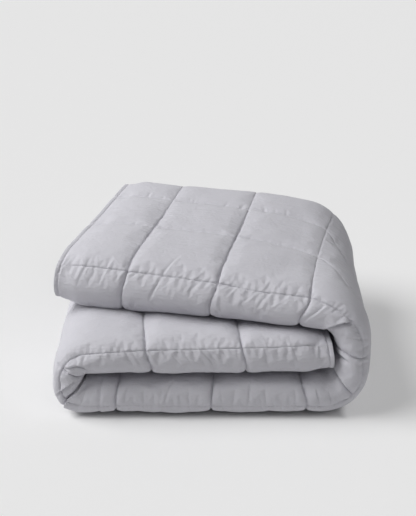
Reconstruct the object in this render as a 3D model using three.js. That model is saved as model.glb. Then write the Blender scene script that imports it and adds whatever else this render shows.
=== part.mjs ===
import * as THREE from 'three';

// A quilted duvet, 2 m by 2 m, folded in four across its width and then rolled over in
// three along its length. Millimetres, X to the right, Y to the back, Z up.

// Quilting and cloth
const CELL = 186;            // pitch of the square stitch grid
const FIRST_CELL = 176;      // from the inner free end to the first cross seam
const CROSS_SEAMS = 10;
const STRIP_LENGTH = 2000;
const SEAM_DROP = 6;         // how far a seam is drawn in
const PUFF_POWER = 0.45;     // small: the cloth rises steeply beside a seam
const FLANGE = 15;           // flat stitched border of a free edge
const FLANGE_THICK = 5;
const FLANGE_TAPER = 60;     // where a ply has its full thickness again
const FLOOR_PRESS = 5;       // how far the lowest cloth is pressed flat

// The four plies of one layer
const DEPTH = 500;           // front fold to back fold
const PLY_GAP = 2.5;
const NOSE_PLY = 20;         // ply thickness at the front fold
const HAIRPIN_PLY = 28;      // the same for the inner pair of plies
const BACK_START = 454;      // where the back fold begins to turn
const BACK_FOLD = 34;        // how far the back fold reaches beyond that
const BACK_PLY = 18;
const BACK_EDGE = 492;       // free edges of the two inner plies
const REFERENCE_H = 25;      // the line whose length is counted as cloth length

// Front fold: its upper half is long and round, its lower half sags and is blunt
const NOSE = { upper: 98, lower: 52, upperPower: 1, lowerPower: 0.72, sag: 0.1 };

// Fold line of the layer's middle plane, from the inner free end to the outer one.
// x, z: corner seen from the front; r: bend radius; y: front fold line; yaw: turn of the
// layer seen from above, degrees; skew: how far the cross seams slide along the fold line
// towards the back, degrees; thick: thickness of the layer; rowA: first long seam, counted
// from the middle of the front fold.
const FOLDS = [
  { at: 'inner_end', x: 244, z: 124.5, r: 0, y: 8, yaw: -1.5, skew: -5, thick: 75, rowA: 42 },
  { at: 'middle', x: 168, z: 124.5, r: 0, y: 7, yaw: -1.5, skew: -5, thick: 78, rowA: 39 },
  { at: 'left_upper', x: -282, z: 124.5, r: 41.5, y: -2, yaw: -1, skew: -4, thick: 78, rowA: 39 },
  { at: 'left_lower', x: -282, z: 41.5, r: 41.5, y: -6, yaw: 0, skew: -2, thick: 79, rowA: 40 },
  { at: 'bottom_left', x: -150, z: 41.5, r: 0, y: -8, yaw: 0, skew: -0.5, thick: 83, rowA: 41 },
  { at: 'bottom_right', x: 150, z: 41.5, r: 0, y: -7, yaw: 0, skew: 0, thick: 83, rowA: 42 },
  { at: 'right_lower', x: 280, z: 41.5, r: 62, y: -3, yaw: 1, skew: 0, thick: 83, rowA: 44 },
  { at: 'right_upper', x: 280, z: 210, r: 62, y: 26, yaw: 2, skew: 6, thick: 83, rowA: 46 },
  { at: 'top_right', x: 150, z: 211, r: 0, y: 56, yaw: 2, skew: 9, thick: 87, rowA: 46 },
  { at: 'top_middle', x: -60, z: 213, r: 0, y: 104, yaw: 2, skew: 11, thick: 93, rowA: 46 },
  { at: 'top_left', x: -248, z: 215, r: 0, y: 147, yaw: 2, skew: 12, thick: 98, rowA: 46 },
  { at: 'outer_end', x: -326, z: 215, r: 0, y: 165, yaw: 2, skew: 12.4, thick: 96, rowA: 46 },
];

// Soft crown of the whole pile: height factor by distance to the back
const CROWN = [
  { y: -100, k: 1.0 },
  { y: 60, k: 1.0 },
  { y: 250, k: 1.02 },
  { y: 450, k: 1.005 },
  { y: 660, k: 0.985 },
];

// Middle of the pile's outline, moved to the origin
const CENTRE = { x: 5.28, y: 325.96 };

// Where the section is placed inside a cell, and where it has points on the front fold
const CELL_STEPS = [0, 0.08, 0.28, 0.72, 0.92];
const BEND_STEPS = [0, 0.07, 0.17, 0.28, 0.39, 0.5, 0.61, 0.72, 0.83, 0.93];
const BEND_CELLS = [2, 3, 6, 7];
const NOSE_OUTER = [-1, -0.68, -0.38, -0.12, 0.12, 0.3];
const NOSE_INNER = [1, 0.3, 0, -0.35, -1];
const UPPER_POINTS = [
  { row: 0, offset: 0 },
  { row: 0, offset: 16 },
  { row: 0, offset: 60 },
  { row: 1, offset: -60 },
  { row: 1, offset: -16 },
  { row: 1, offset: 0 },
  { row: 1, offset: 16 },
  { row: 2, offset: -93 },
  { row: 2, offset: -16 },
  { row: 2, offset: 0 },
  { row: 2, offset: 16 },
];

const lerp = (a, b, t) => a + (b - a) * t;
const clamp01 = (t) => Math.min(1, Math.max(0, t));
const smooth = (t) => clamp01(t) ** 2 * (3 - 2 * clamp01(t));
const radians = (deg) => deg * Math.PI / 180;

// Smooth monotone curve through a table of values
function curve(xs, ys) {
  const n = xs.length;
  const slope = [];
  for (let i = 0; i < n - 1; i += 1) {
    slope.push((ys[i + 1] - ys[i]) / (xs[i + 1] - xs[i]));
  }
  const tangent = slope.map((s, i) => {
    if (i === 0) return s;
    const flat = s * slope[i - 1] <= 0;
    return flat ? 0 : 2 * s * slope[i - 1] / (s + slope[i - 1]);
  });
  tangent.push(slope[n - 2]);
  return (x) => {
    const inside = Math.min(xs[n - 1], Math.max(xs[0], x));
    let i = 0;
    while (i < n - 2 && inside > xs[i + 1]) i += 1;
    const w = xs[i + 1] - xs[i];
    const t = (inside - xs[i]) / w;
    const a = ys[i] * (1 + 2 * t) * (1 - t) ** 2 + ys[i + 1] * t * t * (3 - 2 * t);
    const b = tangent[i] * w * t * (1 - t) ** 2 - tangent[i + 1] * w * t * t * (1 - t);
    return a + b;
  };
}

// The rounded fold line as closely spaced points, with the place of each table row on it
function foldLine() {
  const points = [];
  const marks = [];
  const at = (row) => new THREE.Vector2(row.x, row.z);
  points.push(at(FOLDS[0]));
  marks.push(0);
  for (let i = 1; i < FOLDS.length - 1; i += 1) {
    const corner = at(FOLDS[i]);
    const before = corner.clone().sub(at(FOLDS[i - 1])).normalize();
    const after = at(FOLDS[i + 1]).sub(corner).normalize();
    const turn = Math.atan2(before.cross(after), before.dot(after));
    const r = FOLDS[i].r;
    const steps = r > 0 ? 40 : 1;
    const tangent = r * Math.tan(Math.abs(turn) / 2);
    const start = corner.clone().addScaledVector(before, -tangent);
    const side = new THREE.Vector2(-before.y, before.x).multiplyScalar(Math.sign(turn) * r);
    const middle = start.clone().add(side);
    marks.push(points.length + (steps - 1) / 2);
    for (let k = 0; k < steps; k += 1) {
      const angle = steps > 1 ? turn * k / (steps - 1) : 0;
      points.push(start.clone().rotateAround(middle, angle));
    }
  }
  points.push(at(FOLDS[FOLDS.length - 1]));
  marks.push(points.length - 1);
  return { points, marks };
}

// Place and outward axis at any length of cloth and depth, with the layer's sizes there
function makeStrip() {
  const { points, marks } = foldLine();
  const arc = [0];
  for (let i = 1; i < points.length; i += 1) {
    arc.push(arc[i - 1] + points[i].distanceTo(points[i - 1]));
  }
  const markArc = marks.map((m) => lerp(arc[Math.floor(m)], arc[Math.ceil(m)], m % 1));
  const column = (name) => curve(markArc, FOLDS.map((row) => row[name]));
  const [frontY, yaw, skew, thick, rowA] = ['y', 'yaw', 'skew', 'thick', 'rowA'].map(column);
  const total = arc[arc.length - 1];

  const onLine = (a) => {
    const inside = Math.min(total, Math.max(0, a));
    let i = 0;
    while (i < arc.length - 2 && inside > arc[i + 1]) i += 1;
    const t = (inside - arc[i]) / Math.max(1e-9, arc[i + 1] - arc[i]);
    return points[i].clone().lerp(points[i + 1], t);
  };
  const frame = (a, s) => {
    const slid = a - s * Math.tan(radians(skew(a)));
    const turn = radians(yaw(slid));
    const p = onLine(slid);
    const along = onLine(slid + 3).sub(onLine(slid - 3));
    const depth = new THREE.Vector3(Math.sin(turn), Math.cos(turn), 0);
    const origin = new THREE.Vector3(p.x, frontY(a), p.y).addScaledVector(depth, s);
    const out = depth.clone().cross(new THREE.Vector3(along.x, 0, along.y)).normalize();
    return { origin, out };
  };

  const count = 800;
  const clothLength = [0];
  let last = null;
  for (let k = 0; k <= count; k += 1) {
    const { origin, out } = frame(total * k / count, 0);
    const line = origin.addScaledVector(out, REFERENCE_H);
    if (last) clothLength.push(clothLength[k - 1] + line.distanceTo(last));
    last = line;
  }
  const arcAt = (u) => {
    const want = u / STRIP_LENGTH * clothLength[count];
    let i = 0;
    while (i < count - 1 && clothLength[i + 1] < want) i += 1;
    const t = (want - clothLength[i]) / (clothLength[i + 1] - clothLength[i]);
    return total * (i + clamp01(t)) / count;
  };
  return { arcAt, frame, thick, rowA };
}

// Lengths of cloth at which the section is placed: close together at seams and in bends
function stations() {
  const seams = Array.from({ length: CROSS_SEAMS }, (_, k) => FIRST_CELL + CELL * k);
  const edges = [0, ...seams, STRIP_LENGTH];
  const list = [];
  for (let c = 0; c < edges.length - 1; c += 1) {
    const steps = BEND_CELLS.includes(c) ? BEND_STEPS : CELL_STEPS;
    for (const t of steps) list.push(lerp(edges[c], edges[c + 1], t));
  }
  list.push(STRIP_LENGTH, FLANGE, STRIP_LENGTH - FLANGE);
  return list.sort((a, b) => a - b);
}

// How far the cloth stands up beside a seam: 0 on the seam, 1 in the middle of a cell
function puff(length, firstSeam) {
  const nearest = firstSeam + CELL * Math.round((length - firstSeam) / CELL);
  return Math.pow(Math.abs(length - nearest) / (CELL / 2), PUFF_POWER);
}

// Outer face of the front fold as a line of points: v cloth width from the fold's middle,
// s depth, h outward, end the depth at which this half of the fold is over
function noseLine(half, up) {
  const front = -up * NOSE.sag * half;
  const share = (1 + up) / 2;
  const line = [];
  const steps = 48;
  for (let k = -steps; k <= steps; k += 1) {
    const isUpper = k > 0 ? share : 1 - share;
    const end = lerp(NOSE.lower, NOSE.upper, isUpper);
    const power = lerp(NOSE.lowerPower, NOSE.upperPower, isUpper);
    const angle = radians(90 * Math.abs(k) / steps);
    const reach = Math.sign(k) * half - (k === 0 ? 0 : front);
    const s = end * (1 - Math.cos(angle) ** power);
    const h = front + reach * Math.sin(angle) ** power;
    const before = line[line.length - 1];
    const v = before ? before.v + Math.hypot(s - before.s, h - before.h) : 0;
    line.push({ v, s, h, end });
  }
  const zero = line.findIndex((p) => p.h >= 0);
  const offset = line[zero].v;
  for (const p of line) p.v -= offset;
  return line;
}

function pointAt(line, v) {
  const last = line[line.length - 1];
  if (v >= last.v) return { v, s: last.s + v - last.v, h: last.h, end: last.end };
  let i = 0;
  while (i < line.length - 2 && v > line[i + 1].v) i += 1;
  const t = clamp01((v - line[i].v) / (line[i + 1].v - line[i].v));
  const mixed = (name) => lerp(line[i][name], line[i + 1][name], t);
  return { v, s: mixed('s'), h: mixed('h'), end: line[i + 1].end };
}

// Pairs of points on the two faces of the cloth, from the lower back edge round the front
// fold, along the upper ply, round the back fold and back inside. a: outer face as [s, h],
// b: inner face, v: cloth width where the face is quilted.
function section(thick, rowA, up) {
  const half = thick / 2;
  const pitch = thick / 4;
  const slit = PLY_GAP / 2;
  const line = noseLine(half, up);
  const lowV = line[0].v;
  const highV = line[line.length - 1].v;
  const pairs = [];
  const inside = ({ s, h, end }, ply, reach) => {
    const depth = s < end ? ply + s * (1 - ply / end) : s;
    return [depth, h * reach / half];
  };

  const freeEdge = (outer, inner) => {
    const middle = (outer + inner) / 2;
    const thin = Math.sign(outer - inner) * FLANGE_THICK / 2;
    return [
      { a: [BACK_EDGE, middle + thin], b: [BACK_EDGE, middle - thin], v: null },
      { a: [BACK_EDGE - FLANGE, middle + thin], b: [BACK_EDGE - FLANGE, middle - thin], v: null },
      { a: [BACK_EDGE - FLANGE_TAPER, outer], b: [BACK_EDGE - FLANGE_TAPER, inner], v: null },
    ];
  };

  pairs.push(...freeEdge(-half, -pitch - slit));
  const outerV = NOSE_OUTER.map((t) => (t < 0 ? -t * lowV : t * highV));
  const upperV = UPPER_POINTS.map(({ row, offset }) => rowA + CELL * row + offset);
  for (const v of [...outerV, ...upperV]) {
    const p = pointAt(line, v);
    pairs.push({ a: [p.s, p.h], b: inside(p, NOSE_PLY, pitch + slit), v });
  }

  const foldMiddle = (half + slit) / 2;
  const foldHalf = (half - slit) / 2;
  const backV = highV + BACK_START - line[line.length - 1].s;
  for (const deg of [90, 55, 20, -20, -55, -90]) {
    const c = Math.cos(radians(deg));
    const q = Math.sin(radians(deg));
    const outer = [BACK_START + BACK_FOLD * c, foldMiddle + foldHalf * q];
    const inner = [BACK_START + (BACK_FOLD - BACK_PLY) * c, pitch + slit * q];
    pairs.push({ a: outer, b: inner, v: deg > 0 ? backV : null });
  }

  for (const t of NOSE_INNER) {
    const p = pointAt(line, t < 0 ? -t * lowV : t * highV);
    const outer = inside(p, NOSE_PLY + PLY_GAP, pitch - slit);
    const inner = inside(p, NOSE_PLY + PLY_GAP + HAIRPIN_PLY, slit);
    pairs.push({ a: inner, b: outer, v: null });
  }
  pairs.push(...freeEdge(-slit, -pitch + slit).reverse());
  return pairs;
}

// Thickness factor of each ply near the two free ends of the strip
function endTaper(u) {
  const fromEnd = Math.min(u, STRIP_LENGTH - u);
  return lerp(0.28, 1, smooth((fromEnd - FLANGE) / (FLANGE_TAPER - FLANGE)));
}

function mix(p, q, t) {
  return [lerp(p[0], q[0], t), lerp(p[1], q[1], t)];
}

function buildDuvet() {
  const strip = makeStrip();
  const crown = curve(CROWN.map((row) => row.y), CROWN.map((row) => row.k));
  const list = stations();
  const positions = [];
  const put = (arc, [s, h]) => {
    const { origin, out } = strip.frame(arc, s);
    const p = origin.addScaledVector(out, h);
    const z = p.z * crown(p.y);
    const press = FLOOR_PRESS * (1 - smooth(z / 60));
    positions.push(p.x - CENTRE.x, p.y - CENTRE.y, Math.max(0, z - press));
  };

  let width = 0;
  for (const u of list) {
    const arc = strip.arcAt(u);
    const rowA = strip.rowA(arc);
    const pairs = section(strip.thick(arc), rowA, strip.frame(arc, 0).out.z);
    const taper = endTaper(u);
    const shrink = (1 - taper) / 2;
    const faces = pairs.map(({ a, b, v }) => {
      const rise = v === null ? 1 : puff(u, FIRST_CELL) * puff(v, rowA);
      const drop = SEAM_DROP * (1 - rise) * taper / Math.hypot(a[0] - b[0], a[1] - b[1]);
      return { a: mix(a, b, shrink + drop), b: mix(b, a, shrink) };
    });
    for (const { a } of faces) put(arc, a);
    for (const { b } of faces) put(arc, b);
    width = pairs.length;
  }

  const index = [];
  const ring = width * 2;
  const quad = (p, q, r, s) => index.push(p, q, r, p, r, s);
  const around = Array.from({ length: ring }, (_, k) => (k < width ? k : ring - 1 - (k - width)));
  for (let i = 0; i < list.length - 1; i += 1) {
    for (let k = 0; k < ring; k += 1) {
      const p = around[k];
      const q = around[(k + 1) % ring];
      quad(i * ring + p, i * ring + q, (i + 1) * ring + q, (i + 1) * ring + p);
    }
  }
  const last = (list.length - 1) * ring;
  for (let k = 0; k < width - 1; k += 1) {
    quad(k, width + k, width + k + 1, k + 1);
    quad(last + k, last + k + 1, last + width + k + 1, last + width + k);
  }
  const geometry = new THREE.BufferGeometry();
  geometry.setAttribute('position', new THREE.Float32BufferAttribute(positions, 3));
  geometry.setIndex(index);
  geometry.computeVertexNormals();
  return geometry;
}

const cotton = new THREE.MeshStandardMaterial({ color: 0xc9c9d2, roughness: 0.95, metalness: 0 });
cotton.name = 'cotton';

const duvet = new THREE.Mesh(buildDuvet(), cotton);
duvet.name = 'duvet';

const part = new THREE.Group();
part.name = 'folded_duvet';
part.add(duvet);

export default part;
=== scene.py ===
import math

import bpy
import numpy as np
from mathutils import Matrix, Vector


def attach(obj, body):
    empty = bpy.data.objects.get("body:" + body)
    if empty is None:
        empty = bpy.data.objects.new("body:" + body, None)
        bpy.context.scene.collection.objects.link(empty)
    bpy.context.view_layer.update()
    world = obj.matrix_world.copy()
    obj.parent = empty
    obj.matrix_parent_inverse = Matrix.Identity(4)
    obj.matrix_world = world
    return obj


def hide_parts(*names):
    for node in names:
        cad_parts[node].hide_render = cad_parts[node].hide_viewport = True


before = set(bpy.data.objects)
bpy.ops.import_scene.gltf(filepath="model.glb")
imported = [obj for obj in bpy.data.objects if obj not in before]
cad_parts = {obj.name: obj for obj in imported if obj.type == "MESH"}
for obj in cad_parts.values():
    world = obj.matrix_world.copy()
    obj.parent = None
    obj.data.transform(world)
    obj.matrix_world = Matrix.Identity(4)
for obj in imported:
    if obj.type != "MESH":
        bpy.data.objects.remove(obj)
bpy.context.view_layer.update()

# Sizes of the folded cloth in millimetres, as in the solid; MM turns them into metres
MM = 0.001
CELL = 186.0
FIRST_CELL = 176.0
CROSS_SEAMS = 10
STRIP_LENGTH = 2000.0
BORDER = 8.5
FLANGE = 15.0
FLANGE_THICK = 5.0
FLANGE_TAPER = 60.0
END_THIN = 0.28
FLOOR_PRESS = 5.0
PRESS_HEIGHT = 60.0
PLY_GAP = 2.5
NOSE_PLY = 20.0
HAIRPIN_PLY = 28.0
HAIRPIN_UPPER = 0.3
HAIRPIN_LOWER = 0.35
BACK_START = 454.0
BACK_FOLD = 34.0
BACK_PLY = 18.0
BACK_EDGE = 492.0
REFERENCE_H = 25.0
CENTRE = np.array([5.28, 325.96, 0.0])
NOSE = {"upper": 98.0, "lower": 52.0, "upper_power": 1.0, "lower_power": 0.72, "sag": 0.1}

# Fold line of the layers: corners x and z seen from the front, bend radius r, front fold y, yaw and skew
# in degrees, layer thickness; then the crown of the pile: height factor k at depth y
FOLD_COLUMNS = ("x", "z", "r", "y", "yaw", "skew", "thick")
FOLDS = [
    (244, 124.5, 0, 8, -1.5, -5, 75),
    (168, 124.5, 0, 7, -1.5, -5, 78),
    (-282, 124.5, 41.5, -2, -1, -4, 78),
    (-282, 41.5, 41.5, -6, 0, -2, 79),
    (-150, 41.5, 0, -8, 0, -0.5, 83),
    (150, 41.5, 0, -7, 0, 0, 83),
    (280, 41.5, 62, -3, 1, 0, 83),
    (280, 210, 62, 26, 2, 6, 83),
    (150, 211, 0, 56, 2, 9, 87),
    (-60, 213, 0, 104, 2, 11, 93),
    (-248, 215, 0, 147, 2, 12, 98),
    (-326, 215, 0, 165, 2, 12.4, 96),
]
CROWN_Y = (-100, 60, 250, 450, 660)
CROWN_K = (1.0, 1.0, 1.02, 1.005, 0.985)

# The three long seams at length u of the strip, measured from the middle of the front fold, and lean,
# how far the cross seams slide below the first of them
SEAM_COLUMNS = ("u", "a", "b", "c", "lean")
SEAMS = [
    (0, 47, 230, 400, 0),
    (100, 37, 222, 400, -3),
    (360, 32, 218, 400, -9),
    (500, 23, 209, 394, 0),
    (600, 20, 206, 392, 4),
    (680, 6, 194, 380, 6),
    (760, 3, 190, 376, 5),
    (920, 5, 190, 376, 4),
    (1106, 5, 178, 364, -11),
    (1215, 22, 160, 330, 0),
    (1292, 28, 140, 300, 12),
    (1340, 22, 134, 284, 14),
    (1396, 20, 142, 286, 16),
    (1441, 27, 184, 320, 18),
    (1482, 38, 218, 368, 19),
    (1571, 37, 233, 382, 14),
    (1664, 45, 239, 388, 11),
    (1850, 47, 240, 396, 6),
    (2000, 47, 240, 400, 0),
]
LEAN_RAMP = 60.0

# Points on the fold line, in a bend and in all, and reach for its direction
BEND_POINTS = 40
LINE_SAMPLES = 1600
TANGENT_REACH = 3.0

# Mesh fineness: distances of the grid lines beside a seam, then steps that may widen
SEAM_EDGE = np.array([0.0, 1.0, 2.2, 3.8, 5.8])
U_STEP = 2.3
BORDER_STEPS = 2
NOSE_STEPS = 48
LOWER_STEPS = 42
FRONT_STEPS = 42
FRONT_WIDENING = 0.4
MIDDLE_STEPS = 30
BACK_STEPS = 12

SEED = 11


def smooth(t):
    t = np.clip(t, 0.0, 1.0)
    return t * t * (3.0 - 2.0 * t)


def mix(a, b, t):
    return a + (b - a) * t


def unit(vectors):
    return vectors / np.maximum(1e-9, np.linalg.norm(vectors, axis=-1, keepdims=True))


def above_floor(points):
    points[..., 2] = np.maximum(points[..., 2], 0.0)
    return points


def run_along(points):
    """Distance along points, or rows of points, from the first."""
    step = np.linalg.norm(np.diff(points, axis=0), axis=-1)
    return np.concatenate([np.zeros((1, *step.shape[1:])), np.cumsum(step, axis=0)])


def curve(xs, ys):
    """Smooth monotone curve through a table of values."""
    xs = np.asarray(xs, float)
    ys = np.asarray(ys, float)
    slope = np.diff(ys) / np.diff(xs)
    tangent = np.zeros(len(xs))
    tangent[0] = slope[0]
    tangent[-1] = slope[-1]
    for i in range(1, len(slope)):
        if slope[i] * slope[i - 1] > 0:
            tangent[i] = 2 * slope[i] * slope[i - 1] / (slope[i] + slope[i - 1])

    def value(x):
        x = np.clip(x, xs[0], xs[-1])
        i = np.clip(np.searchsorted(xs, x, side="left") - 1, 0, len(xs) - 2)
        w = xs[i + 1] - xs[i]
        t = (x - xs[i]) / w
        a = ys[i] * (1 + 2 * t) * (1 - t) ** 2 + ys[i + 1] * t * t * (3 - 2 * t)
        b = tangent[i] * w * t * (1 - t) ** 2 - tangent[i + 1] * w * t * t * (1 - t)
        return a + b

    return value


def table_curves(columns, rows):
    """One curve for each column of a table, by its first column."""
    first = [row[0] for row in rows]
    return {name: curve(first, [row[k] for row in rows]) for k, name in enumerate(columns) if k > 0}


SEAM_AT = table_curves(SEAM_COLUMNS, SEAMS)


class Strip:
    """The folded strip: place and outward axis at any length of cloth and depth."""

    def __init__(self):
        rows = [dict(zip(FOLD_COLUMNS, row)) for row in FOLDS]
        points, marks = self.fold_line(rows)
        self.points = points
        self.arc = run_along(points)
        self.total = self.arc[-1]
        mark_arc = np.interp(marks, np.arange(len(self.arc)), self.arc)
        for name in ("y", "yaw", "skew", "thick"):
            setattr(self, name, curve(mark_arc, [row[name] for row in rows]))
        self.along = np.linspace(0.0, self.total, LINE_SAMPLES)
        origin, out = self.frame(self.along, np.zeros_like(self.along))
        self.cloth = run_along(origin + out * REFERENCE_H)

    @staticmethod
    def fold_line(rows):
        """Points of the line, and the place of each table row among them."""
        at = [np.array([row["x"], row["z"]], float) for row in rows]
        points = [at[0]]
        marks = [0.0]
        for i in range(1, len(rows) - 1):
            before = unit(at[i] - at[i - 1])
            after = unit(at[i + 1] - at[i])
            turn = math.atan2(before[0] * after[1] - before[1] * after[0], before @ after)
            r = rows[i]["r"]
            count = BEND_POINTS if r > 0 else 1
            start = at[i] - before * r * math.tan(abs(turn) / 2)
            middle = start + np.array([-before[1], before[0]]) * math.copysign(r, turn)
            marks.append(len(points) + (count - 1) / 2)
            d = start - middle
            for a in np.linspace(0.0, turn, count):
                c, s = math.cos(a), math.sin(a)
                points.append(middle + np.array([d[0] * c - d[1] * s, d[0] * s + d[1] * c]))
        points.append(at[-1])
        marks.append(len(points) - 1)
        return np.array(points), marks

    def on_line(self, a):
        a = np.clip(a, 0.0, self.total)
        return [np.interp(a, self.arc, self.points[:, k]) for k in (0, 1)]

    def frame(self, a, s):
        slid = np.clip(a - s * np.tan(np.radians(self.skew(a))), 0.0, self.total)
        turn = np.radians(self.yaw(slid))
        x, z = self.on_line(slid)
        x1, z1 = self.on_line(slid + TANGENT_REACH)
        x0, z0 = self.on_line(slid - TANGENT_REACH)
        depth = np.stack([np.sin(turn), np.cos(turn), np.zeros_like(turn)], -1)
        origin = np.stack([x, self.y(a) + 0 * x, z], -1) + depth * s[..., None]
        tangent = np.stack([x1 - x0, np.zeros_like(x), z1 - z0], -1)
        return origin, unit(np.cross(depth, tangent))

    def arc_at(self, u):
        return np.interp(np.asarray(u) / STRIP_LENGTH * self.cloth[-1], self.cloth, self.along)


def nose_line(half, up):
    """Outer face of the front fold: cloth width v from its middle, depth s, outward h, end depth."""
    front = -up * NOSE["sag"] * half
    share = (1 + up) / 2
    k = np.arange(-NOSE_STEPS, NOSE_STEPS + 1)
    upper = np.where(k > 0, share, 1 - share)
    end = mix(NOSE["lower"], NOSE["upper"], upper)
    power = mix(NOSE["lower_power"], NOSE["upper_power"], upper)
    angle = np.radians(90 * np.abs(k) / NOSE_STEPS)
    reach = np.sign(k) * half - np.where(k == 0, 0.0, front)
    s = end * (1 - np.cos(angle).clip(0) ** power)
    h = front + reach * np.sin(angle) ** power
    v = np.concatenate([[0.0], np.cumsum(np.hypot(np.diff(s), np.diff(h)))])
    v -= v[np.argmax(h >= 0)]
    return v, s, h, end


def steps(start, end, count, seam_start=True, seam_end=True, widening=0.0):
    """Places from start to end, closer beside a seam, in steps that may widen."""
    head = start + SEAM_EDGE if seam_start else np.array([start])
    tail = end - SEAM_EDGE[:0:-1] if seam_end else np.array([])
    stop = tail[0] if seam_end else end
    t = np.linspace(0.0, 1.0, count + 1)[1:-1]
    return np.concatenate([head, mix(head[-1], stop, mix(t, t * t, widening)), tail])


def cloth_lengths():
    """Places of the sections along the strip, and which of them lie on a cross seam."""
    seams = FIRST_CELL + CELL * np.arange(CROSS_SEAMS)
    edges = np.concatenate([[0.0, BORDER], seams, [STRIP_LENGTH - BORDER, STRIP_LENGTH]])
    parts = []
    for k, (a, b) in enumerate(zip(edges[:-1], edges[1:])):
        first = k == 0
        last = k == len(edges) - 2
        count = BORDER_STEPS if first or last else round((b - a - 2 * SEAM_EDGE[-1]) / U_STEP)
        parts.append(steps(a, b, count, not first, not last))
    on_seam = np.cumsum([len(part) for part in parts[:-1]])
    return np.concatenate(parts + [[STRIP_LENGTH]]), on_seam


class Section:
    """Outer and inner faces of the four plies at one place of the strip, as rows of [s, h]."""

    def __init__(self, thick, rows, up):
        self.half = thick / 2
        self.pitch = thick / 4
        self.slit = PLY_GAP / 2
        self.rows = rows
        self.line = nose_line(self.half, up)
        v, s, _, _ = self.line
        self.low_v = v[0]
        self.high_v = v[-1]
        self.back_v = self.high_v + BACK_START - s[-1]

    def at(self, v):
        """Depth and height of the outer face at v, and the depth at which its fold is over."""
        lv, ls, lh, le = self.line
        s = np.where(v > lv[-1], ls[-1] + v - lv[-1], np.interp(v, lv, ls))
        h = np.interp(v, lv, lh)
        end = np.where(v > 0, le[-1], le[0])
        return s, h, end

    def inside(self, v, ply, reach):
        s, h, end = self.at(v)
        depth = np.where(s < end, ply + s * (1 - ply / end), s)
        return np.stack([depth, h * reach / self.half], -1)

    def outer_v(self):
        a, b, c = self.rows
        return np.concatenate([
            steps(self.low_v, a, LOWER_STEPS, seam_start=False),
            steps(a, b, FRONT_STEPS, widening=FRONT_WIDENING),
            steps(b, c, MIDDLE_STEPS),
            steps(c, self.back_v, BACK_STEPS, seam_end=False)])

    def back_fold(self, degrees):
        c = np.cos(np.radians(degrees))
        q = np.sin(np.radians(degrees))
        middle = (self.half + self.slit) / 2
        reach = (self.half - self.slit) / 2
        outer = np.stack([BACK_START + BACK_FOLD * c, middle + reach * q], -1)
        inner = np.stack([BACK_START + (BACK_FOLD - BACK_PLY) * c, self.pitch + self.slit * q], -1)
        return outer, inner

    def free_edge(self, outer, inner):
        middle = (outer + inner) / 2
        thin = math.copysign(FLANGE_THICK / 2, outer - inner)
        depth = np.array([BACK_EDGE, BACK_EDGE - FLANGE, BACK_EDGE - FLANGE_TAPER])
        a = np.stack([depth, [middle + thin, middle + thin, outer]], -1)
        b = np.stack([depth, [middle - thin, middle - thin, inner]], -1)
        return a, b

    def faces(self):
        half, pitch, slit = self.half, self.pitch, self.slit
        low_a, low_b = self.free_edge(-half, -pitch - slit)
        v = self.outer_v()
        s, h, _ = self.at(v)
        fold_a, fold_b = self.back_fold(np.linspace(90, -90, BACK_STEPS))
        skin_a = np.concatenate([np.stack([s, h], -1), fold_a])
        skin_b = np.concatenate([self.inside(v, NOSE_PLY, pitch + slit), fold_b])
        v = np.concatenate([v, self.back_v + run_along(fold_a)])
        hair_v = np.array([
            self.high_v, HAIRPIN_UPPER * self.high_v, 0.0, HAIRPIN_LOWER * self.low_v, self.low_v])
        hair_b = self.inside(hair_v, NOSE_PLY + PLY_GAP, pitch - slit)
        hair_a = self.inside(hair_v, NOSE_PLY + PLY_GAP + HAIRPIN_PLY, slit)
        in_a, in_b = self.free_edge(-slit, -pitch + slit)
        a = np.concatenate([low_a, skin_a, hair_a, in_a[::-1]])
        b = np.concatenate([low_b, skin_b, hair_b, in_b[::-1]])
        return a, b, v


def end_taper(u):
    """Share of a ply's thickness, less near the free ends."""
    from_end = np.minimum(u, STRIP_LENGTH - u)
    return mix(END_THIN, 1.0, smooth((from_end - FLANGE) / (FLANGE_TAPER - FLANGE)))


class Cloth:
    """All faces of the folded duvet as grids of points in millimetres, before any puckers."""

    HEM = 3

    def __init__(self):
        self.strip = Strip()
        self.u, self.seam_rows = cloth_lengths()
        self.rows = np.stack([SEAM_AT[name](self.u) for name in ("a", "b", "c")], -1)
        self.lean = SEAM_AT["lean"](self.u)
        edge = len(SEAM_EDGE) - 1
        col_a = LOWER_STEPS + edge
        col_b = col_a + FRONT_STEPS + 2 * edge
        self.seam_cols = np.array([col_a, col_b, col_b + MIDDLE_STEPS + 2 * edge])
        arc = self.strip.arc_at(self.u)
        thick = self.strip.thick(arc)
        self.out = self.strip.frame(arc, np.zeros_like(arc))[1]
        taper = end_taper(self.u)
        outer, inner, widths = [], [], []
        for i in range(len(self.u)):
            a, b, v = Section(thick[i], self.rows[i], self.out[i, 2]).faces()
            shrink = (1 - taper[i]) / 2
            outer.append(mix(a, b, shrink))
            inner.append(mix(b, a, shrink))
            widths.append(v)
        self.v = np.array(widths)
        self.skin = slice(self.HEM, self.HEM + self.v.shape[1])
        self.arc = self.slid_arc(np.array(outer).shape[1])
        self.outer = settle(self.place(np.array(outer)))
        self.inner = settle(self.place(np.array(inner)))
        self.face = self.outer[:, self.skin]

    def slid_arc(self, width):
        """Place of each point on the fold line; the cross seams lean below the first row."""
        ramp = np.zeros((len(self.u), width))
        ramp[:, :self.HEM] = 1.0
        ramp[:, self.skin] = smooth((self.rows[:, :1] - self.v) / LEAN_RAMP)
        return self.strip.arc_at(self.u[:, None] + self.lean[:, None] * ramp)

    def place(self, sh):
        origin, out = self.strip.frame(self.arc, sh[..., 0])
        return origin + out * sh[..., 1:2]


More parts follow.
